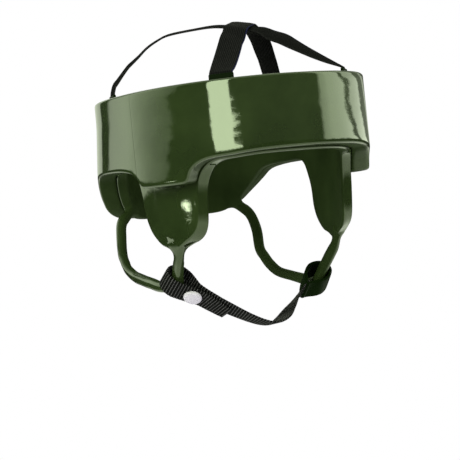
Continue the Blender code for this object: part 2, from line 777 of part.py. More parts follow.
def dome(name, seat, facing, across, tall, paint, group):
    """A low domed cap: half its profile, from the top down, turned about the way it faces."""
    rim = 0.35 * tall
    profile = []
    for angle in (0, 24, 46, 68, 90):
        turned = math.radians(angle)
        profile.append((across / 2 * math.sin(turned), rim + (tall - rim) * math.cos(turned)))
    profile += [(across / 2, 0.0), (0.0, 0.0)]
    mesh = bmesh.new()
    corners = [mesh.verts.new((radius, 0.0, height)) for radius, height in profile]
    for above, below in zip(corners, corners[1:]):
        mesh.edges.new((above, below))
    cap = finish(name, mesh, paint, group)
    cap.matrix_world = facing_turn(seat, facing)
    turn = cap.modifiers.new("turn", "SCREW")
    turn.steps = turn.render_steps = ROUND_STEPS
    turn.use_merge_vertices = True
    turn.merge_threshold = GLUE_GAP / 10


def disc(name, middle, facing, across, tall, paint, group):
    """A plain round disc."""
    mesh = bmesh.new()
    bmesh.ops.create_cone(mesh, cap_ends=True, segments=ROUND_STEPS, radius1=across / 2, radius2=across / 2,
                          depth=tall)
    finish(name, mesh, paint, group).matrix_world = facing_turn(middle, facing)


def chin_tab(group):
    """Dipped loop round the left corner that holds the strap's left end."""
    points, facings = (row[::-1] for row in chin_centre_line())
    outer, inner = layered_end(points, facings, TAB_LAYERS, CHIN_TAB_LENGTH, CHIN_TAB_THICK, 7)
    along = directions(points)[0]
    back = fold_round(inner[0][0], outer[0][0], along, CHIN_TAB_BACK)
    nose_way = (outer[-1][0] + inner[-1][0] - outer[-2][0] - inner[-2][0]).normalized()
    nose = fold_round(outer[-1][0], inner[-1][0], -nose_way, CHIN_TAB_THICK * 0.7)
    loop = outer[::-1] + back + [(p, -f) for p, f in inner] + nose
    return ribbon("chin_tab_left", [p for p, f in loop], [f for p, f in loop], TAB_WIDTH,
                  CHIN_TAB_THICK, "dark_green_vinyl", group, closed=True)


def clear_scene():
    for obj in list(bpy.data.objects):
        bpy.data.objects.remove(obj, do_unlink=True)


def collection(name):
    group = bpy.data.collections.new(name)
    bpy.context.scene.collection.children.link(group)
    return group


def main():
    clear_scene()
    helmet = collection("soft_protective_helmet")
    cutters = collection("cutters")
    halo = foam_wall("halo_band", HALO_EDGE, HALO_THICK, GLUE_GAP, "green_vinyl", helmet)
    foam_wall("inner_shell", SHELL_EDGE, 0.0, -SHELL_THICK, "green_vinyl", helmet)
    for word, side in (("right", -1), ("left", 1)):
        leg_strip(f"leg_strip_{word}", side, helmet)
        strap_tab(f"strap_tab_front_{word}", FRONT_ANCHOR_GIRTH, side, halo, helmet, cutters)
        strap_tab(f"strap_tab_rear_{word}", REAR_ANCHOR_GIRTH, side, halo, helmet, cutters)
    crown_strap("crown_strap_under", 1, 0.0, helmet)
    crown_strap("crown_strap_over", -1, STRAP_THICK + CROSSING_SLACK, helmet)
    chin_strap(helmet)
    chin_tab(helmet)
    snap(helmet)


main()
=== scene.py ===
import json
import math

import bmesh
import bpy
from mathutils import Matrix, Vector, noise

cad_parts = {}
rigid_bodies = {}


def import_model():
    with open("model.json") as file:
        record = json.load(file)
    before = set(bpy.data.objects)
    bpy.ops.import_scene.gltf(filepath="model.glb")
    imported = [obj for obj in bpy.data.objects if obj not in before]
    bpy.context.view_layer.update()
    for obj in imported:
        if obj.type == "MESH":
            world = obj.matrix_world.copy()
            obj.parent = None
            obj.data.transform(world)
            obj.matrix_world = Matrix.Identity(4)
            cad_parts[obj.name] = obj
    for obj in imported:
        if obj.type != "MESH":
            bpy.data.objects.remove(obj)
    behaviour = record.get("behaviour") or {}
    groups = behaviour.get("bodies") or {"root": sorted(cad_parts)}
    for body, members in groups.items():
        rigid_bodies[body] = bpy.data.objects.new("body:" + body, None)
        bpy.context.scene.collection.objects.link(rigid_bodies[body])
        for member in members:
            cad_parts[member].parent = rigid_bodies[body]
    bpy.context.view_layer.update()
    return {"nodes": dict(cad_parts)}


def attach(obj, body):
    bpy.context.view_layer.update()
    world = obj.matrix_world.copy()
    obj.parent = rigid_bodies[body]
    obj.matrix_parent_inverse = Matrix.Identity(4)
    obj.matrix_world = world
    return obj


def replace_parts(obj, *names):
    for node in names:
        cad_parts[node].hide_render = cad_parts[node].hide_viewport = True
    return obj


for leftover in list(bpy.data.objects):
    bpy.data.objects.remove(leftover, do_unlink=True)
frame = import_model()
print("frame loaded")

# The seam is the line between the two foam layers, seen from above: a rounded oval, in metres.
seam = {"halfLength": 0.1113, "halfWidth": 0.0874, "squareness": 2.2,
        "centre": Vector((0.0, 0.030, -0.0478)), "tuckDrop": 0.088, "tuckLean": 0.05,
        "flareDrop": 0.020, "flareLean": 0.085, "flareGirth": (0.45, 0.95)}

# How far each level of the lower edges hangs below the top rim.
levels = {"brow": 0.0580, "lip": 0.0606, "temple": 0.0786, "arch": 0.0616,
          "nape": 0.0980, "napeLip": 0.1000, "cover": 0.1316}

# Lower edges from the middle of the front to the middle of the back: share of the half girth, the level
# left, the level gone to and how far, and how much the cut widens on the wall's inner side.
halo = {"outer": 0.016, "inner": 0.0001, "rimRound": 0.0024, "edgeRound": 0.0022, "cutBevel": 0.0,
        "steps": 150, "ripple": 0.00030, "edge": (
            (0.000, "brow", "temple", 0.00, 0.0), (0.118, "brow", "temple", 0.03, 0.0),
            (0.190, "brow", "temple", 0.11, 0.0), (0.230, "brow", "temple", 0.15, 0.0),
            (0.256, "brow", "temple", 0.24, 0.0), (0.277, "brow", "temple", 0.43, 0.0),
            (0.289, "brow", "temple", 0.66, 0.0), (0.294, "brow", "temple", 0.90, 0.0),
            (0.304, "brow", "temple", 1.00, 0.0), (0.352, "brow", "temple", 1.01, 0.0),
            (0.420, "temple", "arch", 0.01, 0.0), (0.441, "temple", "arch", 0.08, 0.0),
            (0.452, "temple", "arch", 0.29, 0.0), (0.463, "temple", "arch", 0.54, 0.0),
            (0.484, "temple", "arch", 0.77, 0.0), (0.521, "temple", "arch", 0.92, 0.0),
            (0.561, "temple", "arch", 0.98, 0.0), (0.620, "arch", "nape", 0.00, 0.0),
            (0.680, "arch", "nape", 0.02, 0.0), (0.722, "arch", "nape", 0.10, 0.0),
            (0.745, "arch", "nape", 0.28, 0.0), (0.765, "arch", "nape", 0.45, 0.0),
            (0.785, "arch", "nape", 0.62, 0.0), (0.805, "arch", "nape", 0.79, 0.0),
            (0.835, "arch", "nape", 0.93, 0.0), (0.880, "arch", "nape", 1.00, 0.0),
            (1.000, "arch", "nape", 1.00, 0.0))}

shell = {"outer": 0.0, "inner": -0.0095, "rimRound": 0.0020, "edgeRound": 0.0019, "cutBevel": 0.0042,
         "steps": 170, "ripple": -0.00025, "tipGirth": 0.407, "rearLegGirth": 0.812, "edge": (
             (0.000, "lip", "cover", 0.000, 0.0), (0.120, "lip", "cover", 0.004, 0.0),
             (0.190, "lip", "cover", 0.020, 0.0), (0.232, "lip", "cover", 0.028, 0.2),
             (0.258, "lip", "cover", 0.062, 0.5), (0.277, "lip", "cover", 0.130, 0.8),
             (0.290, "lip", "cover", 0.215, 1.0), (0.297, "lip", "cover", 0.320, 1.0),
             (0.301, "lip", "cover", 0.450, 1.0), (0.305, "lip", "cover", 0.620, 1.0),
             (0.310, "lip", "cover", 0.725, 1.0), (0.320, "lip", "cover", 0.800, 1.0),
             (0.337, "lip", "cover", 0.858, 0.8), (0.355, "lip", "cover", 0.897, 0.5),
             (0.372, "lip", "cover", 0.935, 0.3), (0.389, "lip", "cover", 0.975, 0.1),
             (0.400, "lip", "cover", 1.000, 0.0), (0.414, "cover", "arch", 0.000, 0.0),
             (0.436, "cover", "arch", 0.054, 0.0), (0.463, "cover", "arch", 0.104, 0.0),
             (0.494, "cover", "arch", 0.241, 0.0), (0.510, "cover", "arch", 0.396, 0.0),
             (0.514, "cover", "arch", 0.517, 0.0), (0.518, "cover", "arch", 0.654, 0.0),
             (0.525, "cover", "arch", 0.769, 0.0), (0.541, "cover", "arch", 0.940, 0.0),
             (0.570, "cover", "arch", 1.000, 0.0), (0.640, "arch", "napeLip", 0.00, 0.0),
             (0.690, "arch", "napeLip", 0.02, 0.0), (0.722, "arch", "napeLip", 0.10, 0.0),
             (0.745, "arch", "napeLip", 0.28, 0.0), (0.765, "arch", "napeLip", 0.45, 0.0),
             (0.785, "arch", "napeLip", 0.62, 0.0), (0.805, "arch", "napeLip", 0.79, 0.0),
             (0.835, "arch", "napeLip", 0.93, 0.0), (0.880, "arch", "napeLip", 1.00, 0.0),
             (1.000, "arch", "napeLip", 1.00, 0.0))}


def catmull(points, share):
    # point of a smooth curve through rows of numbers
    last = len(points) - 1
    place = min(max(share, 0.0), 1.0) * last
    i = min(int(place), last - 1)
    t = place - i
    p0, p1, p2, p3 = (Vector(points[min(max(k, 0), last)]) for k in (i - 1, i, i + 1, i + 2))
    return 0.5 * (2 * p1 + (p2 - p0) * t + (2 * p0 - 5 * p1 + 4 * p2 - p3) * t * t
                  + (3 * p1 - p0 - 3 * p2 + p3) * t * t * t)


def walkEvenly(rows, count, fine=20, measured=3):
    # even steps along the smooth curve through rows, measured in their first columns
    dense = [catmull(rows, i / (fine * len(rows))) for i in range(fine * len(rows) + 1)]
    walked = [0.0]
    for a, b in zip(dense, dense[1:]):
        walked.append(walked[-1] + math.dist(a[:measured], b[:measured]))
    steps, k = [], 0
    for i in range(count + 1):
        target = walked[-1] * i / count
        while k < len(walked) - 2 and walked[k + 1] < target:
            k += 1
        t = (target - walked[k]) / max(walked[k + 1] - walked[k], 1e-9)
        steps.append(dense[k].lerp(dense[k + 1], min(max(t, 0.0), 1.0)))
    return steps


def tableAt(table, share):
    for low, high in zip(table, table[1:]):
        if share <= high[0]:
            t = (share - low[0]) / (high[0] - low[0])
            return [a + (b - a) * t for a, b in zip(low, high)]
    return list(table[-1])


def seamRows(count=720):
    rows, walked, before = [], 0.0, None
    power = seam["squareness"]
    for i in range(count + 1):
        s, c = math.sin(math.pi * i / count), math.cos(math.pi * i / count)
        x = -seam["halfWidth"] * abs(s) ** (2 / power)
        y = -seam["halfLength"] * math.copysign(abs(c) ** (2 / power), c)
        nx = -abs(x / seam["halfWidth"]) ** (power - 1) / seam["halfWidth"]
        ny = math.copysign(abs(y / seam["halfLength"]) ** (power - 1), y) / seam["halfLength"]
        if before:
            walked += math.dist(before, (x, y))
        before = (x, y)
        rows.append((walked, x, y, nx, ny))
    return [(row[0] / walked,) + row[1:] for row in rows], walked


seamPoints, halfGirth = seamRows()


def seamAt(girth, side):
    # point and outward direction of the seam; side -1 is the right side as worn
    last = len(seamPoints) - 1
    low, high = 0, last
    while high - low > 1:
        middle = (low + high) // 2
        if seamPoints[middle][0] <= girth:
            low = middle
        else:
            high = middle
    a, b = seamPoints[low], seamPoints[high]
    t = min(max((girth - a[0]) / (b[0] - a[0]), 0.0), 1.0)
    x, y, nx, ny = (p + (q - p) * t for p, q in zip(a[1:], b[1:]))
    return Vector((-side * x, y, 0.0)), Vector((-side * nx, ny, 0.0)).normalized()


def wallPoint(girth, outward, drop, side):
    point, normal = seamAt(girth, side)
    tuck = seam["tuckLean"] * max(0.0, drop - seam["tuckDrop"])
    fore, aft = seam["flareGirth"]
    swell = math.sin(math.pi * min(max((girth - fore) / (aft - fore), 0.0), 1.0)) ** 2
    flare = seam["flareLean"] * swell * max(0.0, drop - seam["flareDrop"])
    return seam["centre"] + point + normal * (outward - tuck + flare) - Vector((0.0, 0.0, drop))


def edgeDrop(row):
    return levels[row[1]] + (levels[row[2]] - levels[row[1]]) * row[3]


def edgePoint(table, girth, outward, side):
    drop = tableAt([(row[0], edgeDrop(row)) for row in table], girth)[1]
    return wallPoint(girth, outward, drop, side)


def inset(outline, distance):
    # the outline moved up into the wall, square to its own direction
    moved, last = [], len(outline) - 1
    for i, point in enumerate(outline):
        along = outline[min(i + 1, last)] - outline[max(i - 1, 0)]
        size = math.hypot(along.x, along.y)
        girth = point.x + (distance * along.y / size if 0 < i < last else 0.0)
        moved.append(Vector((girth, point.y - distance * along.x / size, point.z)))
    return moved


def settle(name, bm, material, slot, smooth=True):
    # closes a finished bmesh into a named piece; given a slot, it rides on the helmet
    data = bpy.data.meshes.new(name)
    bm.to_mesh(data)
    bm.free()
    data.materials.append(material)
    if smooth:
        data.shade_smooth()
    piece = bpy.data.objects.new(name, data)
    bpy.context.scene.collection.objects.link(piece)
    if slot:
        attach(piece, "root")
    return piece


def skin(rings, closedAlong):
    # a sheet of rings in rows, welded where it meets itself, with its ends filled
    around, along = len(rings[0]), len(rings)
    bm = bmesh.new()
    bm.loops.layers.uv.new("UVMap")
    bmesh.ops.create_grid(bm, x_segments=around, y_segments=along if closedAlong else along - 1,
                          size=0.5, calc_uvs=True)
    bm.verts.ensure_lookup_table()
    girth = sum((a - b).length for a, b in zip(rings[0], rings[0][1:]))
    length = sum((near[0] - far[0]).length for near, far in zip(rings, rings[1:]))
    grid = bm.loops.layers.uv.active
    for face in bm.faces:
        for loop in face.loops:
            loop[grid].uv = (loop[grid].uv.x * girth, loop[grid].uv.y * length)
    for j in range(along + (1 if closedAlong else 0)):
        ring = rings[j % along]
        for i in range(around + 1):
            bm.verts[j * (around + 1) + i].co = ring[i % around]
    bmesh.ops.remove_doubles(bm, verts=bm.verts[:], dist=1e-6)
    bmesh.ops.holes_fill(bm, edges=bm.edges[:], sides=0)
    bmesh.ops.recalc_face_normals(bm, faces=bm.faces[:])
    return bm


# Both foam walls: the turns of a rounded edge in degrees, the rows between rim and edge, the depth over
# which the unevenness fades in, and how much the girth counts more than the drop when steps are spread.
foam = {"arc": (0, 22.5, 45, 67.5, 90), "rows": 7, "fadeDepth": 0.006, "stretch": 2.0,
        "broad": (22.0, 0.75), "fine": (61.0, 0.25), "fineShift": Vector((3.1, 0.4, 7.7))}


def ripple(point, size):
    # slow unevenness of coated foam
    (broadScale, broadShare), (fineScale, fineShare) = foam["broad"], foam["fine"]
    broad = noise.noise(point * broadScale)
    fine = noise.noise(point * fineScale + foam["fineShift"])
    return size * (broadShare * broad + fineShare * fine)


def foamWall(name, wall, material, slot):
    stretch = foam["stretch"]
    rows = [(row[0] * halfGirth * stretch, edgeDrop(row), row[4] * wall["cutBevel"]) for row in wall["edge"]]
    outline = [Vector((p.x / stretch, p.y, p.z)) for p in walkEvenly(rows, wall["steps"])]
    below = inset(outline, -1.0)
    inner = [a + (b - a) * a.z for a, b in zip(outline, below)]
    arc = [math.radians(a) for a in foam["arc"]]
    insets = {face: [inset(line, wall["edgeRound"] * (1 - math.sin(a))) for a in arc]
              for face, line in (("outer", outline), ("inner", inner))}
    rings = []
    stops = list(range(wall["steps"] + 1))
    for side, steps in ((-1, stops), (1, stops[-2:0:-1])):
        for i in steps:
            ring = []
            for face, way in (("outer", -1), ("inner", 1)):
                place = wall[face]
                edge = [Vector((line[i].x, place + way * wall["edgeRound"] * (1 - math.cos(a)), line[i].y))
                        for line, a in zip(insets[face], arc)]
                top = insets[face][-1][i].x
                rim = [Vector((top, place + way * wall["rimRound"] * (1 - math.cos(a)),
                               wall["rimRound"] * (1 - math.sin(a)))) for a in arc]
                between = [rim[0].lerp(edge[0], k / foam["rows"]) for k in range(1, foam["rows"])]
                line = rim[::-1] + between + edge
                ring += line if face == "outer" else line[::-1]
            points = []
            for girth, out, drop in ring:
                point = wallPoint(girth / halfGirth, out, drop, side)
                depth = min(1.0, abs(out) / foam["fadeDepth"]) if wall["outer"] > 0 else 1.0
                push = ripple(point, wall["ripple"]) * depth
                points.append(wallPoint(girth / halfGirth, out + push, drop, side))
            rings.append(points)
    piece = settle(name, skin(rings, True), material, slot)
    smoothMore(piece)
    return piece


def smoothMore(piece):
    soft = piece.modifiers.new("soft", "SUBSURF")
    soft.levels = 1
    soft.render_levels = 1


def directions(points, closed=False):
    last = len(points) - 1
    if closed:
        return [(points[(i + 1) % (last + 1)] - points[i - 1]).normalized() for i in range(last + 1)]
    return [(points[min(i + 1, last)] - points[max(i - 1, 0)]).normalized() for i in range(last + 1)]


def squareTo(along, facing):
    facing = (facing - along * facing.dot(along)).normalized()
    return facing.cross(along).normalized(), facing


def sweep(name, points, facings, section, material, slot, closed=False):
    # a section of (across, up) carried along a path; section(i) gives the one at a step
    rings = []
    for i, (point, along, facing) in enumerate(zip(points, directions(points, closed), facings)):
        across, up = squareTo(along, facing)
        rings.append([point + across * a + up * b for a, b in section(i)])
    return settle(name, skin(rings, closed), material, slot)


def roundedBox(wide, thick, corner, count=3):
    # outline of a flat bar with rounded corners
    shape = []
    for cx, cy, turn in ((1, 1, 0), (-1, 1, 90), (-1, -1, 180), (1, -1, 270)):
        for k in range(count + 1):
            a = math.radians(turn + 90 * k / count)
            shape.append((cx * (wide / 2 - corner) + corner * math.cos(a),
                          cy * (thick / 2 - corner) + corner * math.sin(a)))
    return shape


# The corner is where the two legs of a side meet. The left one hangs lower.
corners = {"forward": 0.0075, -1: {"out": 0.0709, "drop": 0.1577}, 1: {"out": 0.0675, "drop": 0.1680}}

leg = {"width": 0.0088, "thick": 0.0076, "round": 0.0027, "steps": 120, "inside": 0.009, "bow": 0.0022,
       "flare": 0.0036, "rearFlare": 0.6, "thicker": 0.0030, "flareLength": 0.009,
       "uneven": 0.05, "unevenScale": 60.0, "front": ((0.16, 1.00), (0.42, 0.65), (0.72, 0.25)),
       "rear": ((0.855, 0.085, -0.024), (0.864, 0.225, 0.028), (0.852, 0.365, 0.075), (0.830, 0.525, 0.135),
                (0.824, 0.636, 0.232), (0.812, 0.692, 0.328), (0.800, 0.737, 0.434), (0.790, 0.746, 0.663),
                (0.745, 0.775, 0.860))}


def cornerPlace(side):
    place = corners[side]
    return seam["centre"] + Vector((side * place["out"], -corners["forward"], -place["drop"]))


def legEnd(side):
    half = leg["width"] / 2 / halfGirth
    middle = shell["inner"] / 2
    fore, aft = (edgePoint(shell["edge"], shell["rearLegGirth"] + step, middle, side)
                 for step in (-half, half))
    way = seamAt(shell["rearLegGirth"], side)[1].cross(aft - fore).normalized()
    if way.z < 0:
        way = -way
    return (fore + aft) / 2, way


def legPath(side):
    start = wallPoint(shell["tipGirth"], shell["inner"] / 2, levels["cover"], side)
    corner = cornerPlace(side)
    end, way = legEnd(side)
    up = Vector((0.0, 0.0, 1.0))
    route = [start + up * leg["inside"], start]
    route += [start.lerp(corner, share) - up * (leg["bow"] * bow) for share, bow in leg["front"]] + [corner]
    for out, back, rise in leg["rear"]:
        route.append(Vector((side * seam["halfWidth"] * out, seam["centre"].y + seam["halfLength"] * back,
                             corner.z + (end.z - corner.z) * rise)))
    return route + [end, end + way * leg["inside"]]


def dippedLeg(side, material):
    points = walkEvenly(legPath(side), leg["steps"])
    length = sum((b - a).length for a, b in zip(points, points[1:]))
    facings = [Vector((p.x - seam["centre"].x, p.y - seam["centre"].y, 0.0)) for p in points]

    def section(i):
        walked = length * min(i, leg["steps"] - i) / leg["steps"] - leg["inside"]
        near = max(0.0, 1 - max(walked, 0.0) / leg["flareLength"])
        flare = leg["flare"] * near ** 2
        wide = leg["width"] + 2 * flare * (1.0 if i < leg["steps"] / 2 else leg["rearFlare"])
        thick = leg["thick"] + leg["thicker"] * near
        uneven = 1 + leg["uneven"] * noise.noise(points[i] * leg["unevenScale"])
        return roundedBox(wide * uneven, thick * uneven, leg["round"])

    return sweep(f"leg_{'right' if side < 0 else 'left'}", points, facings, section, material, None)


# How the dipped coat rounds a joint off: passes over a reach that shrinks by a share of itself.
dip = {"passes": 24, "reach": 0.011, "shrink": 0.6, "weld": 0.00005}


def fuse(name, base, others, joints, material, slot):
    # joins the pieces into one skin and smooths it where they meet, as a dipped coat does
    for other in others:
        join = base.modifiers.new(other.name, "BOOLEAN")
        join.operation = "UNION"
        join.object = other
    bpy.context.view_layer.update()
    data = bpy.data.meshes.new_from_object(base.evaluated_get(bpy.context.evaluated_depsgraph_get()))
    bm = bmesh.new()
    bm.from_mesh(data)
    bmesh.ops.remove_doubles(bm, verts=bm.verts[:], dist=dip["weld"])
    for joint in joints:
        for k in range(dip["passes"]):
            near = dip["reach"] * (1 - dip["shrink"] * k / dip["passes"])
            zone = [v for v in bm.verts if (v.co - joint).length < near]
            bmesh.ops.smooth_vert(bm, verts=zone, factor=0.5,
                                  use_axis_x=True, use_axis_y=True, use_axis_z=True)
    for other in others + [base]:
        bpy.data.objects.remove(other, do_unlink=True)
    return settle(name, bm, material, slot)


# Crown straps from the crossing to a tab: share of the run, share of the height, lean in degrees.
strap = {"width": 0.0195, "thick": 0.0015, "clearance": 0.0003, "slack": 0.0009, "steps": 96,
         "ribs": 13, "ribHeight": 0.00022, "ribPower": 0.7, "puff": 0.0002, "edgeThin": (0.35, 3.0),
         "humpWide": 1.6, "frontGirth": 0.203, "rearGirth": 0.660, "intoTab": 0.0016,
         "front": ((0.000, 1.000, 13.0), (0.120, 0.953, 14.0), (0.220, 0.900, 20.0), (0.315, 0.782, 28.0),
                   (0.425, 0.682, 30.0), (0.510, 0.571, 27.0), (0.610, 0.442, 22.0), (0.740, 0.282, 17.0),
                   (0.865, 0.140, 11.0), (0.945, 0.057, 5.0), (0.980, 0.020, 1.0), (1.000, 0.000, 0.0)),
         "rear": ((0.000, 1.000, 13.0), (0.175, 1.080, 12.0), (0.350, 1.070, 10.0), (0.530, 1.030, 11.0),
                  (0.620, 0.950, 13.0), (0.705, 0.830, 16.0), (0.770, 0.690, 18.0), (0.820, 0.590, 20.0),
                  (0.860, 0.510, 22.0), (0.900, 0.400, 23.0), (0.930, 0.310, 24.0), (0.955, 0.235, 25.0),
                  (0.980, 0.160, 26.0), (1.000, 0.000, 26.5))}

tab = {"width": 0.0205, "thick": 0.0026, "stand": 0.0050, "root": 0.0180, "gap": 0.0003, "round": 0.0010,
       "cuts": 9, "cutOver": 0.004, "uneven": 0.0002, "unevenScale": 330.0}


def tabPlace(girth, side):
    point, normal = seamAt(girth, side)
    across = Vector((-normal.y, normal.x, 0.0))
    centre = seam["centre"] + point + normal * (tab["gap"] + tab["thick"] / 2)
    return centre + Vector((0.0, 0.0, tab["stand"])), across, normal


def crownHalf(table, girth, side):
    anchor = tabPlace(girth, side)[0] + Vector((0.0, 0.0, 2 * strap["clearance"]))
    crossing = Vector((0.0, 0.0, strap["thick"] / 2))
    flat = Vector((anchor.x, anchor.y, 0.0))
    forward = flat.normalized()
    up = Vector((0.0, 0.0, 1.0))
    across = up.cross(forward)
    if across.y < 0:
        across = -across
    rows = [(*(crossing + flat * share).xy, anchor.z + (crossing.z - anchor.z) * height, lean)
            for share, height, lean in table]
    steps = walkEvenly(rows, strap["steps"])
    points = [Vector(row[:3]) for row in steps]
    points[-1].z -= strap["intoTab"]
    facings = []
    for along, row in zip(directions(points), steps):
        rise = across.cross(along)
        if rise.dot(up + forward * 0.5) < 0:
            rise = -rise
        lean = math.radians(row[3])
        facings.append((rise * math.cos(lean) - across * math.sin(lean)).normalized())
    return points, facings


def ribbedSection(fine=4):
    # flat webbing with ribs along it, on both faces, and thinner towards its edges
    wide, thick, count = strap["width"], strap["thick"] + strap["puff"], strap["ribs"] * fine
    least, growth = strap["edgeThin"]
    across = [wide * (k / count - 0.5) for k in range(count + 1)]
    swell = [strap["ribHeight"] * abs(math.sin(math.pi * k / fine)) ** strap["ribPower"]
             for k in range(count + 1)]
    thin = [min(1.0, least + growth * (0.5 - abs(a / wide))) for a in across]
    upper = [(a, (thick / 2 - strap["ribHeight"] + s) * r) for a, s, r in zip(across, swell, thin)]
    return upper + [(a, -b) for a, b in reversed(upper)]


def crownStrap(name, frontSide, lift, material):
    frontPoints, frontFacings = crownHalf(strap["front"], strap["frontGirth"], frontSide)
    rearPoints, rearFacings = crownHalf(strap["rear"], strap["rearGirth"], -frontSide)
    points = frontPoints[::-1] + rearPoints[1:]
    facings = frontFacings[::-1] + rearFacings[1:]
    raised = []
    for point, facing in zip(points, facings):
        far = math.hypot(point.x, point.y) / (2 * strap["width"])
        hump = math.cos(min(far, 1.0) * math.pi / 2) ** 2
        raised.append(point + facing * (lift * min(1.0, strap["humpWide"] * hump)))
    shape = ribbedSection()
    return sweep(name, raised, facings, lambda i: shape, material, "black_webbing")


def dippedTab(name, girth, side, material):
    top, across, normal = tabPlace(girth, side)
    tall = tab["stand"] + tab["root"]
    up = Vector((0.0, 0.0, 1.0))
    bm = bmesh.new()
    bmesh.ops.create_cube(bm, size=1.0, matrix=Matrix.Diagonal((tab["width"], tab["thick"], tall, 1.0)))
    bmesh.ops.bevel(bm, geom=bm.edges[:], offset=tab["round"], segments=3, profile=0.5, affect="EDGES",
                    material=-1)
    bmesh.ops.subdivide_edges(bm, edges=[e for e in bm.edges if e.calc_length() > tab["cutOver"]],
                              cuts=tab["cuts"], use_grid_fill=True)
    turn = Matrix((across, normal, up)).transposed().to_4x4()
    bmesh.ops.transform(bm, matrix=Matrix.Translation(top - up * (tall / 2)) @ turn, verts=bm.verts[:])
    for vert in bm.verts:
        vert.co += normal * (tab["uneven"] * noise.noise(vert.co * tab["unevenScale"]))
    bmesh.ops.recalc_face_normals(bm, faces=bm.faces[:])
    return settle(name, bm, material, "dark_green_vinyl")


# Chin strap: shares of the way in, forward and down, the folded tail's layers, and the snap.
chin = {"drop": 0.1980, "forward": 0.0360, "tail": 0.048, "loopBack": 0.0125, "snapShare": 0.3083,
        "pitch": 0.0026, "ribHeight": 0.00026, "ribPower": 0.6, "ribSteps": 5, "puff": 0.0001,
        "waver": 0.00018, "edge": 0.0006, "edgeThin": (0.85, 0.35),
        "tabLength": 0.0150, "tabThick": 0.0026, "tabBack": 0.0134,
        "noseRound": 0.7, "intoTab": 0.002, "apart": 0.001, "steps": 60, "tailSteps": 20, "tabSteps": 7,
        "foldSteps": 12, "faceReach": 1.15,
        "right": ((0.00, 0.00, 0.00), (0.30, 0.36, 0.35), (0.53, 0.64, 0.62), (0.71, 0.84, 0.82),
                  (0.865, 0.96, 0.95), (1.00, 1.00, 1.00)),
        "left": ((0.00, 0.00, 0.00), (0.25, 0.06, 0.22), (0.48, 0.28, 0.50), (0.69, 0.62, 0.77),
                 (0.86, 0.90, 0.94), (1.00, 1.00, 1.00)),
        "faceRight": (-0.573, -0.457, -0.680), "faceLeft": (0.340, -0.640, -0.690),
        "faceChin": (0.0, -0.10, -1.0),
        "tailLayers": ((0.00, -7.6, 4.4, 0.0), (0.12, -6.4, 3.9, 0.0), (0.20, -4.8, 3.4, 0.0),
                       (0.36, -1.3, 2.4, 0.0), (0.52, -0.5, 1.5, -0.06), (0.80, 0.0, 1.3, -0.20),
                       (1.00, 0.0, 1.3, -0.28)),
        "tabLayers": ((0.00, -4.8, 2.7, 0.0), (0.35, -4.1, 2.3, 0.0), (0.70, -2.4, 1.3, 0.0),
                      (1.00, -0.6, 0.6, 0.0))}


def chinLine():
    middle = seam["centre"] + Vector((0.0, -chin["forward"], -chin["drop"]))
    route = []
    for side, rows in ((-1, chin["right"]), (1, chin["left"][-2::-1])):
        corner = cornerPlace(side)
        for inward, forward, down in rows:
            route.append(Vector((corner.x * (1 - inward), corner.y + (middle.y - corner.y) * forward,
                                 corner.z + (middle.z - corner.z) * down)))
    points = walkEvenly(route, chin["steps"])
    facings = []
    for point in points:
        side = -1 if point.x < 0 else 1
        share = min(abs(point.x) / corners[side]["out"] * chin["faceReach"], 1.0)
        end = chin["faceRight"] if side < 0 else chin["faceLeft"]
        facings.append(Vector(chin["faceChin"]).lerp(Vector(end), share).normalized())
    return points, facings


def walkedTo(points):
    total = [0.0]
    for a, b in zip(points, points[1:]):
        total.append(total[-1] + (b - a).length)
    return total


def valueAt(values, walked, distance):
    k = 0
    while k < len(walked) - 2 and walked[k + 1] < distance:
        k += 1
    return values[k].lerp(values[k + 1], (distance - walked[k]) / (walked[k + 1] - walked[k]))


def layers(points, facings, table, length, unit, steps):
    walked, ways = walkedTo(points), directions(points)
    outer, inner = [], []
    for i in range(steps + 1):
        distance = length * i / steps
        point = valueAt(points, walked, distance)
        along = valueAt(ways, walked, distance).normalized()
        across, facing = squareTo(along, valueAt(facings, walked, distance))
        low, high, slide = tableAt(table, i / steps)[1:]
        outer.append((point + facing * (high * unit) + across * (slide * strap["width"]), facing))
        inner.append((point + facing * (low * unit), facing))
    return outer, inner


def foldRound(start, end, along, back):
    centre = (start + end) / 2
    reach = end - centre
    turn = []
    for i in range(1, chin["foldSteps"]):
        angle = math.pi * i / chin["foldSteps"]
        swing = reach * math.cos(angle) - along * (back * math.sin(angle))
        turn.append((centre + swing, (reach.normalized() * math.cos(angle) / reach.length
                                      - along * math.sin(angle) / back).normalized()))
    return turn


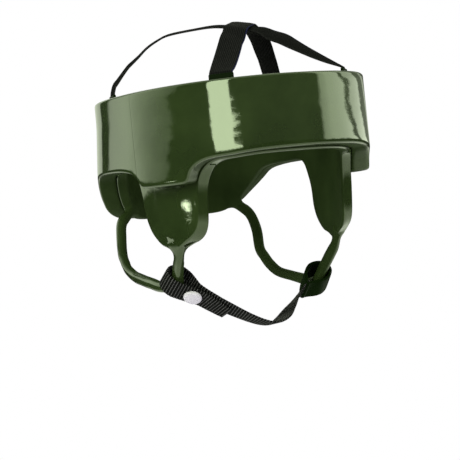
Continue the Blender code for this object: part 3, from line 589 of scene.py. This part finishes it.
def chinStrap(material):
    points, facings = chinLine()
    walked = walkedTo(points)
    outer, inner = layers(points, facings, chin["tailLayers"], chin["tail"], strap["thick"],
                          chin["tailSteps"])
    turn = foldRound(inner[0][0], outer[0][0], directions(points)[0], chin["loopBack"])
    endAt = walked[-1] - chin["tabLength"] + chin["intoTab"]
    rest = [(p, f) for p, f, w in zip(points, facings, walked)
            if chin["tail"] + chin["apart"] < w < endAt - chin["apart"]]
    end = (valueAt(points, walked, endAt), valueAt(facings, walked, endAt))
    whole = outer[::-1] + turn + [(p, -f) for p, f in inner + rest + [end]]
    path, faces = [p for p, f in whole], [f for p, f in whole]
    length = walkedTo(path)
    count = int(length[-1] / chin["pitch"]) * chin["ribSteps"]
    spots = [length[-1] * i / count for i in range(count + 1)]
    smoothPath = [valueAt(path, length, s) for s in spots]
    smoothFaces = [valueAt(faces, length, s) for s in spots]

    def section(i):
        rib = chin["ribHeight"] * abs(math.sin(math.pi * spots[i] / chin["pitch"])) ** chin["ribPower"]
        half = strap["thick"] / 2 - chin["ribHeight"] + rib + chin["puff"]
        wide = strap["width"] / 2 + chin["waver"] * math.cos(math.tau * spots[i] / chin["pitch"])
        thin, thinner = chin["edgeThin"]
        rows = [(-wide, thinner), (-wide + chin["edge"], thin)]
        rows += [(wide * share, 1.0) for share in (-0.8, -0.4, 0.0, 0.4, 0.8)]
        rows += [(wide - chin["edge"], thin), (wide, thinner)]
        return [(a, b * half) for a, b in rows] + [(a, -b * half) for a, b in reversed(rows)]

    print("chin strap", round(length[-1], 4), "m")
    return sweep("webbing_chin", smoothPath, smoothFaces, section, material, "black_webbing")


def chinLoop(material):
    points, facings = (row[::-1] for row in chinLine())
    outer, inner = layers(points, facings, chin["tabLayers"], chin["tabLength"], chin["tabThick"],
                          chin["tabSteps"])
    back = foldRound(inner[0][0], outer[0][0], directions(points)[0], chin["tabBack"])
    noseWay = (outer[-1][0] + inner[-1][0] - outer[-2][0] - inner[-2][0]).normalized()
    nose = foldRound(outer[-1][0], inner[-1][0], -noseWay, chin["tabThick"] * chin["noseRound"])
    loop = outer[::-1] + back + [(p, -f) for p, f in inner] + nose
    shape = roundedBox(tab["width"], chin["tabThick"], tab["round"])
    piece = sweep("dipped_loop_left", [p for p, f in loop], [f for p, f in loop], lambda i: shape, material,
                  "dark_green_vinyl", closed=True)
    smoothMore(piece)
    return piece


# The snap's dome: its outline as shares of half its width and of its height, from the top down.
snap = {"across": 0.0154, "tall": 0.0032, "steps": 56, "slopeReach": 0.06,
        "outline": ((0.0, 1.0), (0.28, 0.99), (0.55, 0.95), (0.74, 0.88), (0.86, 0.78), (0.94, 0.64),
                    (0.985, 0.47), (1.0, 0.30), (0.99, 0.12), (0.95, 0.0), (0.0, 0.0))}


def tailSlope():
    # how fast the tail's outer layer rises along the strap where the snap sits
    low, high = (tableAt(chin["tailLayers"], chin["snapShare"] + step)[2]
                 for step in (-snap["slopeReach"], snap["slopeReach"]))
    return (high - low) * strap["thick"] / (2 * snap["slopeReach"] * chin["tail"])


def snapCap(material):
    points, facings = chinLine()
    walked = walkedTo(points)
    distance = chin["snapShare"] * chin["tail"]
    point = valueAt(points, walked, distance)
    along = valueAt(directions(points), walked, distance).normalized()
    facing = squareTo(along, valueAt(facings, walked, distance))[1]
    high = tableAt(chin["tailLayers"], chin["snapShare"])[2]
    facing = squareTo((along + facing * tailSlope()).normalized(), facing)[1]
    seat = point + facing * (high * strap["thick"] + strap["thick"] / 2 + 2 * strap["clearance"])
    half, tall = snap["across"] / 2, snap["tall"]
    turn = facing.to_track_quat("Z", "Y").to_matrix()
    angles = [math.tau * k / snap["steps"] for k in range(snap["steps"])]
    circle = [Vector((math.cos(a), math.sin(a), 0.0)) for a in angles]
    rings = [[seat + turn @ (spoke * (half * r) + Vector((0.0, 0.0, tall * h))) for spoke in circle]
             for r, h in snap["outline"]]
    piece = settle("snap_dome", skin(rings, False), material, "white_snap")
    smoothMore(piece)
    return piece


class Mixer:
    # short hand for a material's nodes
    def __init__(self, name):
        self.material = bpy.data.materials.new(name)
        self.material.use_nodes = True
        self.tree = self.material.node_tree
        self.shader = self.tree.nodes["Principled BSDF"]
        self.coords = self.add("ShaderNodeTexCoord")

    def add(self, kind):
        return self.tree.nodes.new(kind)

    def link(self, source, target):
        self.tree.links.new(source, target)

    def parts(self, kind):
        # x, y and z of one kind of coordinates
        node = self.add("ShaderNodeSeparateXYZ")
        self.link(self.coords.outputs[kind], node.inputs[0])
        return node.outputs

    def noise(self, scale, detail=3.0, roughness=0.5):
        node = self.add("ShaderNodeTexNoise")
        node.inputs["Scale"].default_value = scale
        node.inputs["Detail"].default_value = detail
        node.inputs["Roughness"].default_value = roughness
        self.link(self.coords.outputs["Object"], node.inputs["Vector"])
        return node.outputs["Fac"]

    def math(self, operation, first, second=0.0, third=None):
        node = self.add("ShaderNodeMath")
        node.operation = operation
        for socket, value in zip(node.inputs, (first, second, third)):
            if isinstance(value, (int, float)):
                socket.default_value = value
            elif value is not None:
                self.link(value, socket)
        return node.outputs[0]

    def ramp(self, source, stops):
        node = self.add("ShaderNodeValToRGB")
        ramp = node.color_ramp
        while len(ramp.elements) < len(stops):
            ramp.elements.new(0.5)
        for element, (place, colour) in zip(ramp.elements, stops):
            element.position = place
            element.color = (*colour, 1.0) if isinstance(colour, tuple) else (colour, colour, colour, 1.0)
        self.link(source, node.inputs["Fac"])
        return node.outputs["Color"]

    def blend(self, factor, first, second):
        node = self.add("ShaderNodeMix")
        node.data_type = "RGBA"
        self.link(factor, node.inputs["Factor"])
        for index, value in ((6, first), (7, second)):
            if isinstance(value, tuple):
                node.inputs[index].default_value = (*value, 1.0)
            else:
                self.link(value, node.inputs[index])
        return node.outputs[2]

    def bump(self, height, strength, distance, under=None):
        node = self.add("ShaderNodeBump")
        node.inputs["Strength"].default_value = strength
        node.inputs["Distance"].default_value = distance
        self.link(height, node.inputs["Height"])
        if under:
            self.link(under, node.inputs["Normal"])
        return node.outputs["Normal"]

    def setShader(self, **values):
        for key, value in values.items():
            self.shader.inputs[key].default_value = value


# Dipped skin: patches and cloud are noise (scale, detail and so on), outward is where the skin starts to
# count as facing out, and waves are bumps (scale, detail, strength, height), from broad to fine.
coat = {"ior": 1.5, "tint": (0.88, 1.0, 0.74), "shine": 0.66, "inwardShine": 0.04, "clear": 0.32,
        "clearRough": 0.03, "patches": (26.0, 4.0), "patchEdge": (0.35, 0.68), "outward": (0.03, 0.30),
        "cloud": (140.0, 5.0, 0.6), "cloudRough": 0.05, "inwardRough": 0.55,
        "waves": ((48.0, 2.0, 0.14, 0.0010), (420.0, 3.0, 0.03, 0.0003), (1600.0, 2.0, 0.05, 0.0001)),
        "lapWide": 0.007, "lapBump": (0.22, 0.0004)}


def vinyl(name, deep, mid, gloss, dullness, lap=None):
    # deep green under a green-tinted gloss, with slow waves; the side that faces in is dull, and where
    # the foam's ends meet, at the turn named lap, a shallow line shows through
    mix = Mixer(name)
    mix.setShader(**{"IOR": coat["ior"], "Coat Roughness": coat["clearRough"], "Coat IOR": coat["ior"],
                     "Specular Tint": (*coat["tint"], 1.0)})
    patches = mix.ramp(mix.noise(*coat["patches"]), list(zip(coat["patchEdge"], (0.0, 1.0))))
    mix.link(mix.blend(patches, deep, mid), mix.shader.inputs["Base Color"])
    spot, facing = mix.parts("Object"), mix.parts("Normal")
    away = mix.math("MULTIPLY", spot["X"], facing["X"])
    behind = mix.math("SUBTRACT", spot["Y"], seam["centre"].y)
    back = mix.math("MULTIPLY", behind, facing["Y"])
    square = mix.math("MULTIPLY", spot["X"], spot["X"])
    reach = mix.math("SQRT", mix.math("MULTIPLY_ADD", behind, behind, square))
    outside = mix.ramp(mix.math("DIVIDE", mix.math("ADD", away, back), reach),
                       list(zip(coat["outward"], (0.0, 1.0))))
    rough = mix.math("MULTIPLY_ADD", mix.noise(*coat["cloud"]), coat["cloudRough"], dullness)
    mix.link(mix.math("MULTIPLY_ADD", mix.math("SUBTRACT", 1.0, outside), coat["inwardRough"], rough),
             mix.shader.inputs["Roughness"])
    mix.link(mix.math("MULTIPLY_ADD", outside, gloss * coat["shine"], coat["inwardShine"]),
             mix.shader.inputs["Specular IOR Level"])
    mix.link(mix.math("MULTIPLY", outside, coat["clear"] * gloss), mix.shader.inputs["Coat Weight"])
    relief = None
    for scale, detail, strength, height in coat["waves"]:
        relief = mix.bump(mix.noise(scale, detail), strength, height, relief)
    if lap:
        turn = mix.math("ARCTAN2", spot["X"], mix.math("MULTIPLY", behind, -1.0))
        near = mix.math("ABSOLUTE", mix.math("SUBTRACT", turn, lap))
        relief = mix.bump(mix.ramp(near, ((0.0, 0.0), (coat["lapWide"], 1.0))), *coat["lapBump"], relief)
    mix.link(relief, mix.shader.inputs["Normal"])
    mix.link(relief, mix.shader.inputs["Coat Normal"])
    return mix.material


# Webbing: the painted highlight on a rib's crest, broken up by noise and lighter on the threads, and the
# bumps of its fuzz and its ribs.
weave = {"ior": 1.4, "shine": 0.12, "fuzz": (1500.0, 4.0, 0.7), "crest": ((0.90, 0.0), (1.0, 1.0)),
         "crestBreakup": ((0.35, 0.25), (0.65, 1.0)), "threadTone": (0.6, 0.4), "rough": (0.15, 0.75),
         "threadHeight": 0.4, "ribBump": (0.6, 0.0003), "fuzzBump": (0.25, 0.0002)}


def webbing(name, black, highlightGrey, rib, thread, ribsAlong, selvedge=None):
    # ribs run along the strap or across it, with a painted highlight on their tops; one edge may be navy
    mix = Mixer(name)
    mix.setShader(**{"IOR": weave["ior"], "Specular IOR Level": weave["shine"]})
    spot = mix.parts("UV")
    ribWay, threadWay = (spot["X"], spot["Y"])[::1 if ribsAlong else -1]
    ribs = mix.math("ABSOLUTE", mix.math("SINE", mix.math("MULTIPLY", ribWay, math.pi / rib)))
    threads = mix.math("ABSOLUTE", mix.math("SINE", mix.math("MULTIPLY", threadWay, math.pi / thread)))
    fuzz = mix.noise(*weave["fuzz"])
    # painted highlight: the tops of the ribs are made lighter where light would catch them, broken up by
    # noise
    litCrests = mix.math("MULTIPLY", mix.ramp(ribs, weave["crest"]), mix.ramp(fuzz, weave["crestBreakup"]))
    tone = mix.math("MULTIPLY", litCrests, mix.math("MULTIPLY_ADD", threads, *weave["threadTone"]))
    colour = mix.blend(tone, black, highlightGrey)
    if selvedge:
        place, half, navy = selvedge
        near = mix.math("ABSOLUTE", mix.math("SUBTRACT", spot["X"], place))
        colour = mix.blend(mix.math("LESS_THAN", near, half), colour, navy)
    mix.link(colour, mix.shader.inputs["Base Color"])
    mix.link(mix.math("MULTIPLY_ADD", fuzz, *weave["rough"]), mix.shader.inputs["Roughness"])
    relief = mix.bump(mix.math("MULTIPLY_ADD", threads, weave["threadHeight"], ribs), *weave["ribBump"])
    mix.link(mix.bump(fuzz, *weave["fuzzBump"], relief), mix.shader.inputs["Normal"])
    return mix.material


# Plain finishes: the scale of the clouds in the colour, its two tones, and an uneven roughness.
enamel = {"shader": {"IOR": 1.45, "Specular IOR Level": 0.3}, "clouds": 160.0,
          "tones": ((0.2, (0.80, 0.75, 0.86)), (0.75, (0.85, 0.80, 0.91))), "rough": (300.0, 0.10, 0.40)}
nickel = {"shader": {"Metallic": 1.0}, "clouds": 500.0,
          "tones": ((0.3, (0.42, 0.42, 0.43)), (0.7, (0.60, 0.60, 0.61))), "rough": (900.0, 0.2, 0.25)}
paper = {"shader": {"Roughness": 0.9, "Specular IOR Level": 0.1}, "clouds": 2.0,
         "tones": ((0.3, (0.83, 0.76, 0.97)), (0.7, (0.85, 0.78, 0.99)))}


def plainFinish(name, look):
    mix = Mixer(name)
    mix.setShader(**look["shader"])
    mix.link(mix.ramp(mix.noise(look["clouds"]), look["tones"]), mix.shader.inputs["Base Color"])
    if "rough" in look:
        scale, spread, least = look["rough"]
        mix.link(mix.math("MULTIPLY_ADD", mix.noise(scale), spread, least), mix.shader.inputs["Roughness"])
    return mix.material


# The studio round the helmet: softboxes by azimuth in degrees (0 is ahead of its front, -90 is on its right)
# with their brightness, and heights from -1 straight down to 1 straight up. The strip and the glint are
# small bright boxes whose sides slant with the height. A lean slants all softboxes between two turns.
studio = {"backdrop": 1.0, "tint": (0.91, 1.0, 0.78), "overhead": 0.75, "overheadFrom": (0.55, 0.80),
          "under": 0.03, "cut": (0.012, 0.030), "mapSize": 2048,
          "below": {"level": 1.1, "heights": (-0.20, -0.40)},
          "strip": {"level": 8.2, "leftHeights": (0.051, 0.086), "left": (-69.0, -71.6),
                    "rightHeights": (0.049, 0.066), "right": (-41.5, -49.5), "soft": 0.7},
          "glint": {"level": 20.0, "heights": (-0.0455, -0.0290), "middle": (-109.0, -115.6), "half": 2.5},
          "leans": ({"from": -150.0, "to": -120.0, "until": -85.0, "slope": 230.0},
                    {"from": 45.0, "to": 75.0, "until": 150.0, "slope": -450.0}),
          "leanMiddle": 0.068, "leanReach": 0.035,
          "turns": (
              (-180, 0.9), (-178, 0.9), (-177, 0.04), (-165, 0.05), (-162, 1.1), (-147, 1.9), (-130, 1.25),
              (-109, 0.60), (-108, 0.05), (-60, 0.10), (2, 0.14), (38.5, 0.14), (40, 2.3), (50, 3.3),
              (77, 3.3), (79, 0.35), (86, 0.35), (88, 2.4), (108, 1.9), (110, 0.30), (126, 0.25),
              (130, 0.9), (140, 0.12), (156, 0.12), (157, 0.9), (180, 0.9))}


def putWorld():
    world = bpy.data.worlds.new("studio")
    world.use_nodes = True
    tree = world.node_tree
    link = tree.links.new
    background = tree.nodes["Background"]
    coords = tree.nodes.new("ShaderNodeTexCoord")
    parts = tree.nodes.new("ShaderNodeSeparateXYZ")
    link(coords.outputs["Generated"], parts.inputs[0])
    height = parts.outputs["Z"]

    def calc(operation, first, second=0.0, third=0.0):
        node = tree.nodes.new("ShaderNodeMath")
        node.operation = operation
        for socket, value in zip(node.inputs, (first, second, third)):
            if isinstance(value, (int, float)):
                socket.default_value = value
            else:
                link(value, socket)
        return node.outputs[0]

    def within(value, least, most):
        return calc("MINIMUM", calc("MAXIMUM", value, least), most)

    def byHeight(heights, values=(0.0, 1.0), way="LINEAR"):
        # goes from the first value to the second between two heights
        node = tree.nodes.new("ShaderNodeMapRange")
        node.interpolation_type = way
        link(height, node.inputs["Value"])
        for key, value in zip(("From Min", "From Max", "To Min", "To Max"), (*heights, *values)):
            node.inputs[key].default_value = value
        return node.outputs[0]

    azimuth = calc("ARCTAN2", parts.outputs["X"], calc("MULTIPLY", parts.outputs["Y"], -1.0))
    degrees = calc("MULTIPLY", azimuth, 360 / math.tau)
    rise = calc("SUBTRACT", height, studio["leanMiddle"])
    rise = within(rise, -studio["leanReach"], studio["leanReach"])
    leant = degrees
    for lean in studio["leans"]:
        grown = calc("DIVIDE", calc("SUBTRACT", degrees, lean["from"]), lean["to"] - lean["from"])
        grown = calc("MULTIPLY", within(grown, 0.0, 1.0), calc("LESS_THAN", degrees, lean["until"]))
        leant = calc("SUBTRACT", leant, calc("MULTIPLY", calc("MULTIPLY", rise, lean["slope"]), grown))
    peak = max(level for _, level in studio["turns"])
    ramp = tree.nodes.new("ShaderNodeValToRGB")
    stops = ramp.color_ramp.elements
    while len(stops) < len(studio["turns"]):
        stops.new(0.5)
    for stop, (turn, level) in zip(stops, studio["turns"]):
        stop.position = (turn + 180) / 360
        stop.color = (level / peak, level / peak, level / peak, 1.0)
    link(calc("MULTIPLY_ADD", leant, 1 / 360, 0.5), ramp.inputs["Fac"])
    ring = calc("MULTIPLY", ramp.outputs["Color"], peak)
    strip = studio["strip"]
    fromLeft = calc("SUBTRACT", degrees, byHeight(strip["leftHeights"], strip["left"]))
    fromRight = calc("SUBTRACT", byHeight(strip["rightHeights"], strip["right"]), degrees)
    lit = within(calc("MULTIPLY", calc("MINIMUM", fromLeft, fromRight), 1 / strip["soft"]), 0.0, 1.0)
    ring = calc("ADD", ring, calc("MULTIPLY", lit, strip["level"]))
    below = studio["below"]
    dim = calc("MAXIMUM", byHeight(below["heights"], (0.0, below["level"])), studio["under"])
    sides = calc("MAXIMUM", calc("MULTIPLY", ring, byHeight(studio["cut"], way="SMOOTHSTEP")), dim)
    glint = studio["glint"]
    aside = calc("ABSOLUTE", calc("SUBTRACT", degrees, byHeight(glint["heights"], glint["middle"])))
    spark = calc("MULTIPLY", calc("LESS_THAN", aside, glint["half"]), glint["level"])
    spark = calc("MULTIPLY", spark, calc("GREATER_THAN", height, glint["heights"][0]))
    spark = calc("MULTIPLY", spark, calc("LESS_THAN", height, glint["heights"][1]))
    sides = calc("ADD", sides, spark)
    above = byHeight(studio["overheadFrom"], way="SMOOTHSTEP")
    glow = calc("ADD", calc("MULTIPLY", sides, calc("SUBTRACT", 1.0, above)),
                calc("MULTIPLY", above, studio["overhead"]))
    byCamera = tree.nodes.new("ShaderNodeLightPath").outputs["Is Camera Ray"]
    seen = calc("ADD", calc("MULTIPLY", glow, calc("SUBTRACT", 1.0, byCamera)),
                calc("MULTIPLY", byCamera, studio["backdrop"]))
    link(seen, background.inputs["Strength"])
    tint = tree.nodes.new("ShaderNodeMix")
    tint.data_type = "RGBA"
    link(byCamera, tint.inputs["Factor"])
    tint.inputs[6].default_value = (*studio["tint"], 1.0)
    tint.inputs[7].default_value = (1.0, 1.0, 1.0, 1.0)
    link(tint.outputs[2], background.inputs["Color"])
    world.cycles.sampling_method = "MANUAL"
    world.cycles.sample_map_resolution = studio["mapSize"]
    bpy.context.scene.world = world


view = {"place": (-0.84881, -1.32338, -0.17877), "right": (0.84633, -0.52338, -0.09897),
        "up": (0.07973, -0.05925, 0.99505), "lens": 148.3, "sensor": 36.0}


def putCamera():
    cameraData = bpy.data.cameras.new("camera")
    cameraData.lens = view["lens"]
    cameraData.sensor_width = view["sensor"]
    camera = bpy.data.objects.new("camera", cameraData)
    right, up = Vector(view["right"]), Vector(view["up"])
    turn = Matrix((right, up, right.cross(up).normalized())).transposed().to_4x4()
    camera.matrix_world = Matrix.Translation(view["place"]) @ turn
    bpy.context.scene.collection.objects.link(camera)
    bpy.context.scene.camera = camera


ground = {"radius": 2.0, "drop": 0.62, "corners": 96}


def putFloor():
    bm = bmesh.new()
    bmesh.ops.create_circle(bm, cap_ends=True, radius=ground["radius"], segments=ground["corners"],
                            matrix=Matrix.Translation((0, 0, -ground["drop"])))
    floor = settle("floor", bm, plainFinish("floorPaper", paper), None, smooth=False)
    floor.visible_glossy = False


green = vinyl("dippedGreen", (0.020, 0.034, 0.009), (0.032, 0.052, 0.015), 1.0, 0.015, -1.42)
darkGreen = vinyl("dippedDark", (0.003, 0.009, 0.001), (0.006, 0.015, 0.003), 0.0, 0.50)
# the second colour of each webbing is its painted highlight on the rib crests
crownBlack = webbing("crownWebbing", (0.0030, 0.0030, 0.0031), (0.050, 0.048, 0.050), 0.0015, 0.0009, True,
                     (0.0, 0.0009, (0.010, 0.011, 0.060)))
chinBlack = webbing("chinWebbing", (0.0035, 0.0035, 0.0035), (0.240, 0.235, 0.240), chin["pitch"], 0.0013,
                    False)
print("materials mixed")

band = foamWall("foam_halo", halo, green, "green_vinyl")
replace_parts(band, "halo_band")
inner = foamWall("shell_blank", shell, green, None)
legs = [dippedLeg(side, green) for side in (-1, 1)]
joints = [wallPoint(shell["tipGirth"], shell["inner"] / 2, levels["cover"], side) for side in (-1, 1)]
joints += [legEnd(side)[0] for side in (-1, 1)]
liner = fuse("foam_shell", inner, legs, joints, green, "green_vinyl")
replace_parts(liner, "inner_shell", "leg_strip_right", "leg_strip_left")
print("foam made")

for girth, place in ((strap["frontGirth"], "front"), (strap["rearGirth"], "rear")):
    for side, word in ((-1, "right"), (1, "left")):
        piece = dippedTab(f"dipped_tab_{place}_{word}", girth, side, darkGreen)
        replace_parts(piece, f"strap_tab_{place}_{word}")
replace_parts(crownStrap("webbing_crown_under", 1, 0.0, crownBlack), "crown_strap_under")
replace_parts(crownStrap("webbing_crown_over", -1, strap["thick"] + strap["slack"], crownBlack),
            "crown_strap_over")
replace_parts(chinStrap(chinBlack), "chin_strap")
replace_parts(chinLoop(darkGreen), "chin_tab_left")
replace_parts(snapCap(plainFinish("snapEnamel", enamel)), "snap_cap")
socket = frame["nodes"]["snap_socket"]
socket.data.materials.clear()
socket.data.materials.append(plainFinish("snapNickel", nickel))
print("straps made")

putCamera()
putWorld()
putFloor()
bpy.context.scene.view_settings.view_transform = "Standard"

print("studio set")
